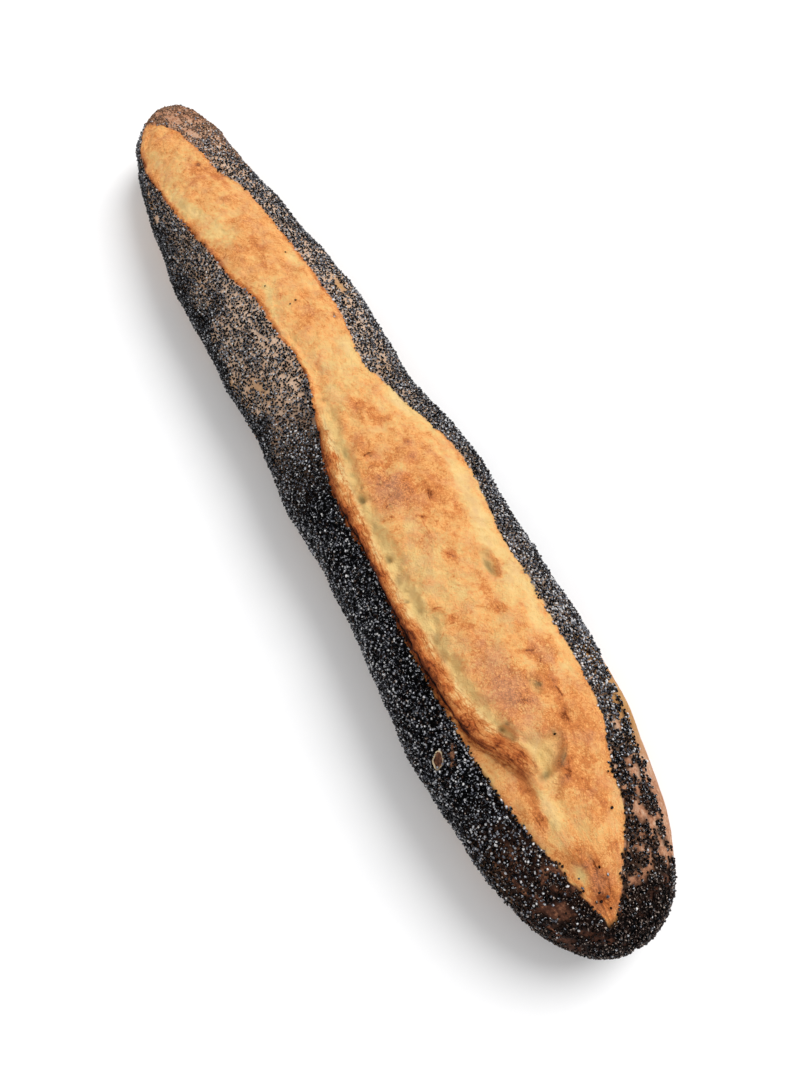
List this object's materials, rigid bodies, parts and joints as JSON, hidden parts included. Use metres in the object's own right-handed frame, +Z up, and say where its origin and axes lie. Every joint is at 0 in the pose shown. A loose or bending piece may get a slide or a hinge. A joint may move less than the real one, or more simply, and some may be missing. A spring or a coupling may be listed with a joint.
{
  "type": "poppy seed baguette",
  "caption": "Long crusty wheat loaf with tapered and blunt ends, a flat base, one long burst cut with a raised lip, and a shell rolled in poppy seeds.",
  "frame": {"origin": "middle of the loaf's box in length and width, on the surface that it rests on", "axes": "+X along the loaf towards its blunt end, +Z up, -Y towards the side with the raised lip"},
  "size_m": [0.47, 0.0824, 0.0482],
  "materials": {
    "crust": "golden baked crust, browner on the shell and the base",
    "seeds": "slate-black poppy seeds with a dull shine"
  },
  "bodies": {
    "root": {"baguette": "crust"}
  },
  "joints": []
}
